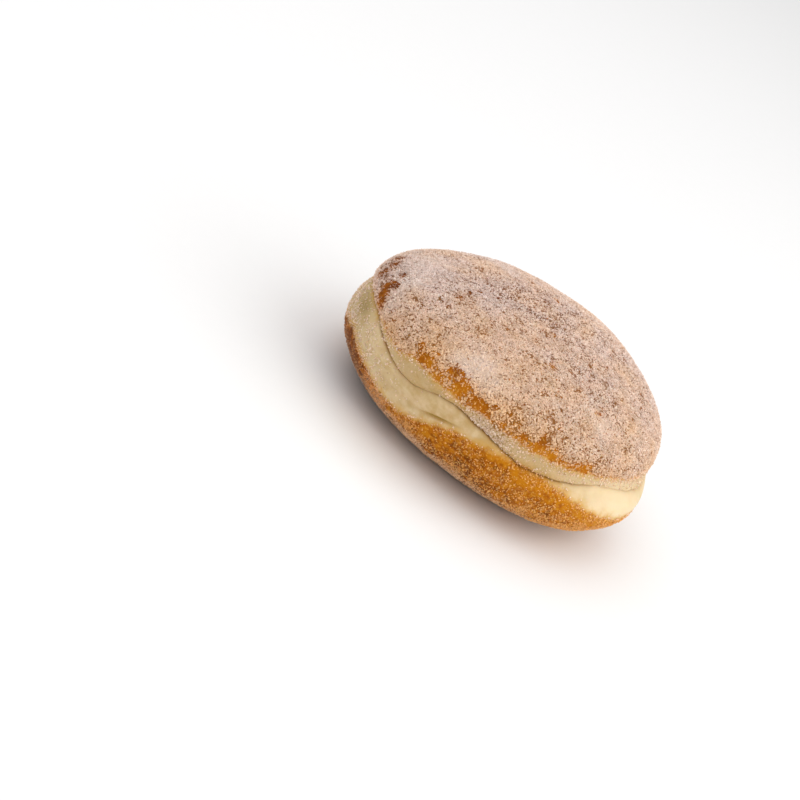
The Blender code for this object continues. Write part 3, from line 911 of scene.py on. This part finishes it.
def strew_sugar(skin, coat, tree, amount, size_share, material):
    """One sugar piece: the grains that a coat strews over the skin, as a plain mesh."""
    name, cover, shape, density, size, rise, seed, _ = coat
    maker = bpy.data.objects.new(name, skin.data.copy())
    bpy.context.scene.collection.objects.link(maker)
    modifier = maker.modifiers.new("Sugar", "NODES")
    modifier.node_group = tree
    values = {"Cover": cover, "Density": density * amount / MM ** 2,
              "Grain Size": size * size_share, "Rise": rise, "Seed": seed,
              "Material": material}
    for item in tree.interface.items_tree:
        if item.in_out == "INPUT" and item.name in values:
            modifier[item.identifier] = values[item.name]
    made = maker.evaluated_get(bpy.context.evaluated_depsgraph_get())
    mesh = bpy.data.meshes.new_from_object(made)
    bpy.data.objects.remove(maker, do_unlink=True)
    for extra in [a.name for a in mesh.attributes if a.name in COVER_FIELDS]:
        mesh.attributes.remove(mesh.attributes[extra])
    places = np.empty(len(mesh.vertices) * 3, dtype=np.float32)
    mesh.vertices.foreach_get("co", places)
    places[2::3] = np.maximum(places[2::3], 0.0)
    mesh.vertices.foreach_set("co", places)
    mesh.name = name
    mesh.shade_flat()
    triangles = sum(len(face.vertices) - 2 for face in mesh.polygons)
    print(name, triangles)
    if not 0 < triangles < MOST_TRIANGLES:
        raise RuntimeError(f"{name} has {triangles} triangles")
    piece = bpy.data.objects.new(name, mesh)
    bpy.context.scene.collection.objects.link(piece)
    return piece


COVER_FIELDS = ("cover_top", "cover_side", "cover_under", "slit", "fold", "speck")


# ---------------------------------------------------------------------------------------------
# The add-on.

def color_property(name, description, default):
    return FloatVectorProperty(name=name, description=description, default=default,
                               subtype="COLOR", size=3, min=0.0, max=1.0)


class DoughLook(bpy.types.PropertyGroup):
    """Colours of the fried dough, and of the light and shade painted on it."""

    pale: color_property("Pale ring", "Dough that stayed above the oil", (0.72, 0.545, 0.32))
    # Painted light on the ring's right end, a light cream.
    pale_painted_light: color_property("Pale light", "Lightest end of the ring", (0.83, 0.67, 0.43))
    # Painted highlight: golden specks of sparkle on the crust.
    painted_glint: color_property("Glint", "Melted sugar on the crust", (0.8, 0.45, 0.09))
    # Painted shade inside the folds of the ring, a golden brown.
    fold: color_property("Fold", "Dough inside a fold", (0.5, 0.29, 0.04))
    pale_shade: color_property("Pale shade", "Darker parts of the ring", (0.57, 0.385, 0.17))
    # Painted shade on the ring's left end, a greenish grey.
    olive_painted_shade: color_property("Olive", "Greyest part of the ring", (0.33, 0.225, 0.078))
    strip: color_property("Strip", "Narrow strip above the crease", (0.46, 0.295, 0.095))
    # Painted shade inside the crease, a dark warm brown.
    slit: color_property("Slit", "Dough inside the crease", (0.36, 0.18, 0.03))
    golden_pale: color_property("Golden pale", "Ring beside the crust", (0.66, 0.36, 0.07))
    golden: color_property("Golden", "Crust beside the ring", (0.55, 0.2, 0.004))
    crust: color_property("Crust", "Well fried crust", (0.43, 0.125, 0.002))
    deep_crust: color_property("Deep crust", "Darkest crust", (0.15, 0.034, 0.002))
    # Crust with painted shade, for the gaps between grains.
    gap_warm_painted_shade: color_property("Warm gap", "Crust between tan grains", (0.29, 0.11, 0.018))
    gap_dark_painted_shade: color_property("Dark gap", "Crust between white grains", (0.16, 0.058, 0.015))
    tan_dust: color_property("Tan dust", "Dust near the front edge", (0.77, 0.445, 0.2))
    dust_dark: color_property("Dark dust", "Sugar dust in the gaps", (0.46, 0.29, 0.2))
    dust: color_property("Sugar dust", "Sugar too fine to see as grains", (0.84, 0.63, 0.53))
    dust_light: color_property("Light dust", "Sugar dust that stands out", (0.9, 0.74, 0.645))
    cool_dust: color_property("Cool dust", "Dust where the coat looks cool", (0.88, 0.72, 0.67))
    straw_dust: color_property("Straw dust", "Dust where the coat looks straw", (0.8, 0.575, 0.38))
    drift_dust: color_property("Drifted dust", "Dust where sugar gathers", (0.82, 0.67, 0.59))
    veil: FloatProperty(name="Veil", description="Strength of the dust between the grains",
                        default=0.85, min=0.0, max=1.0, subtype="FACTOR")
    glow: FloatProperty(name="Glow", description="Light that passes through the dough",
                        default=0.30, min=0.0, max=1.0, subtype="FACTOR")


class SugarLook(bpy.types.PropertyGroup):
    """Amount, size and colours of the sugar."""

    amount: FloatProperty(name="Amount", description="Share of the full sugar coat",
                          default=1.0, min=0.01, max=1.05, subtype="FACTOR")
    size_share: FloatProperty(name="Grain size", description="Grain size over the usual size",
                              default=1.0, min=0.2, max=2.0, subtype="FACTOR")
    grain_warm: color_property("Warm grain", "Crystals in warm light", (0.39, 0.205, 0.105))
    grain_pink: color_property("Pink grain", "Crystals of the common tint", (0.86, 0.645, 0.56))
    grain_white: color_property("White grain", "White crystals", (1.0, 0.93, 0.87))
    grain_cool: color_property("Cool grain", "Crystals in cool light", (0.8, 0.66, 0.62))
    grain_tan: color_property("Tan grain", "Crystals near the front edge", (0.92, 0.59, 0.26))


class StudioLook(bpy.types.PropertyGroup):
    """The camera, the lamps and the floor."""

    elevation: FloatProperty(name="Elevation", description="Camera height angle over the table",
                             default=math.radians(23.5), subtype="ANGLE")
    roll: FloatProperty(name="Roll", description="Camera turn about its own line of sight",
                        default=math.radians(35.4), subtype="ANGLE")
    distance: FloatProperty(name="Distance", description="From the doughnut's middle",
                            default=0.55, min=0.1, unit="LENGTH")
    lens: FloatProperty(name="Lens", description="Focal length in millimetres", default=99.0,
                        min=10.0)
    aside: FloatProperty(name="Aside", description="Doughnut's place right of the view's middle",
                         default=0.0272, unit="LENGTH")
    above: FloatProperty(name="Above", description="Doughnut's place above the view's middle",
                         default=0.0055, unit="LENGTH")
    floor_color: color_property("Floor", "Floor and backdrop colour", (0.90, 0.90, 0.90))


class DOUGHNUT_OT_skin(bpy.types.Operator):
    """Make the doughnut's skin of fried dough in place of the plain solid"""

    bl_idname = "doughnut.skin"
    bl_label = "Make Skin"

    def execute(self, context):
        skin = bpy.data.objects.new("doughnut_skin", skin_mesh())
        context.scene.collection.objects.link(skin)
        skin.data.materials.append(dough_material(context.scene.dough_look))
        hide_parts(NODE)
        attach(skin, BODY)
        return {"FINISHED"}


class DOUGHNUT_OT_sugar(bpy.types.Operator):
    """Strew the sugar coat over the skin, one piece for each kind of grain and part"""

    bl_idname = "doughnut.sugar"
    bl_label = "Strew Sugar"

    def execute(self, context):
        skin = bpy.data.objects.get("doughnut_skin")
        if skin is None:
            raise RuntimeError("make the skin before the sugar")
        look = context.scene.sugar_look
        trees = {shape: scatter_tree(shape) for shape in (BLOCK, CHIP, SPLINTER)}
        for index, coat in enumerate(COATS):
            material = sugar_material(f"{coat[0]}_crystal", look, context.scene.dough_look,
                                      coat[-1], index * 0.17)
            piece = strew_sugar(skin, coat, trees[coat[2]], look.amount, look.size_share,
                                material)
            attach(piece, BODY)
        return {"FINISHED"}


LAMPS = (  # (name, direction from the doughnut, distance, side, watts, colour)
    ("key", (0.76, -0.17, 0.62), 0.9, 1.2, 6.4, (1.0, 0.985, 0.96)),
    ("overhead", (-0.30, 0.10, 0.95), 0.9, 1.1, 3.8, (1.0, 0.99, 1.0)),
    ("fill", (-0.30, -0.75, 0.60), 1.0, 0.9, 0.8, (0.98, 0.985, 1.0)),
)


class DOUGHNUT_OT_studio(bpy.types.Operator):
    """Set the pale floor, the soft lamps and the camera"""

    bl_idname = "doughnut.studio"
    bl_label = "Set Studio"

    def execute(self, context):
        look = context.scene.studio_look
        self.make_floor(context, look)
        self.make_world(context)
        for lamp in LAMPS:
            self.make_lamp(context, *lamp)
        self.make_camera(context, look)
        context.scene.view_settings.view_transform = "Standard"
        return {"FINISHED"}

    @staticmethod
    def middle():
        low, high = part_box(NODE)
        return (Vector(low) + Vector(high)) / 2

    def make_floor(self, context, look):
        bpy.ops.mesh.primitive_circle_add(vertices=96, radius=4.0, fill_type="NGON")
        floor = context.object
        floor.name = "studio_floor"
        sheet = FinishSheet("studio_floor_paint")
        grain = sheet.noise(0.004, 2.0)
        shade = tuple(0.985 * part for part in look.floor_color)
        sheet.wire(sheet.mix(grain, tint(look.floor_color), tint(shade)),
                   sheet.shader.inputs["Base Color"])
        sheet.shader.inputs["Roughness"].default_value = 0.85
        floor.data.materials.append(sheet.material)

    def make_world(self, context):
        world = bpy.data.worlds.new("studio_sky")
        world.use_nodes = True
        backdrop = world.node_tree.nodes["Background"]
        backdrop.inputs["Color"].default_value = (1.0, 1.0, 1.0, 1.0)
        backdrop.inputs["Strength"].default_value = 0.55
        context.scene.world = world

    def make_lamp(self, context, name, direction, distance, side, watts, color):
        lamp = bpy.data.lights.new(f"studio_{name}", "AREA")
        lamp.energy, lamp.color, lamp.size = watts, color, side
        lit = bpy.data.objects.new(f"studio_{name}", lamp)
        toward = Vector(direction).normalized()
        lit.location = self.middle() + toward * distance
        lit.rotation_euler = toward.to_track_quat("Z", "Y").to_euler()
        context.scene.collection.objects.link(lit)

    def make_camera(self, context, look):
        camera = bpy.data.cameras.new("studio_camera")
        camera.lens, camera.sensor_width = look.lens, 36.0
        camera.clip_start, camera.clip_end = 0.01, 20.0
        seen = bpy.data.objects.new("studio_camera", camera)
        back = Vector((0.0, -math.cos(look.elevation), math.sin(look.elevation)))
        level = Vector((1.0, 0.0, 0.0))
        upright = back.cross(level)
        right = math.cos(look.roll) * level + math.sin(look.roll) * upright
        up = math.cos(look.roll) * upright - math.sin(look.roll) * level
        seen.location = self.middle() + look.distance * back
        aim = self.middle() - look.aside * right - look.above * up
        gaze = (seen.location - aim).normalized()
        side = up.cross(gaze).normalized()
        axes = Matrix((side, gaze.cross(side), gaze)).transposed()
        seen.rotation_euler = axes.to_euler()
        context.scene.collection.objects.link(seen)
        context.scene.camera = seen


class DOUGHNUT_PT_panel(bpy.types.Panel):
    """The doughnut's tools and settings."""

    bl_idname = "DOUGHNUT_PT_panel"
    bl_label = "Filled Doughnut"
    bl_space_type = "VIEW_3D"
    bl_region_type = "UI"
    bl_category = "Doughnut"

    def draw(self, context):
        for operator, settings in PANEL_ROWS:
            box = self.layout.box()
            box.operator(operator.bl_idname)
            group = getattr(context.scene, settings)
            for name in group.bl_rna.properties.keys():
                if name not in ("rna_type", "name"):
                    box.prop(group, name)


PANEL_ROWS = (
    (DOUGHNUT_OT_skin, "dough_look"), (DOUGHNUT_OT_sugar, "sugar_look"),
    (DOUGHNUT_OT_studio, "studio_look"),
)
CLASSES = (
    DoughLook, SugarLook, StudioLook, DOUGHNUT_OT_skin, DOUGHNUT_OT_sugar, DOUGHNUT_OT_studio,
    DOUGHNUT_PT_panel,
)


def register():
    for made in CLASSES:
        bpy.utils.register_class(made)
    bpy.types.Scene.dough_look = PointerProperty(type=DoughLook)
    bpy.types.Scene.sugar_look = PointerProperty(type=SugarLook)
    bpy.types.Scene.studio_look = PointerProperty(type=StudioLook)


def unregister():
    for name in ("dough_look", "sugar_look", "studio_look"):
        delattr(bpy.types.Scene, name)
    for made in reversed(CLASSES):
        bpy.utils.unregister_class(made)


def main():
    register()
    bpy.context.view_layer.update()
    bpy.ops.doughnut.skin()
    bpy.ops.doughnut.sugar()
    bpy.ops.doughnut.studio()


if __name__ == "__main__":
    main()
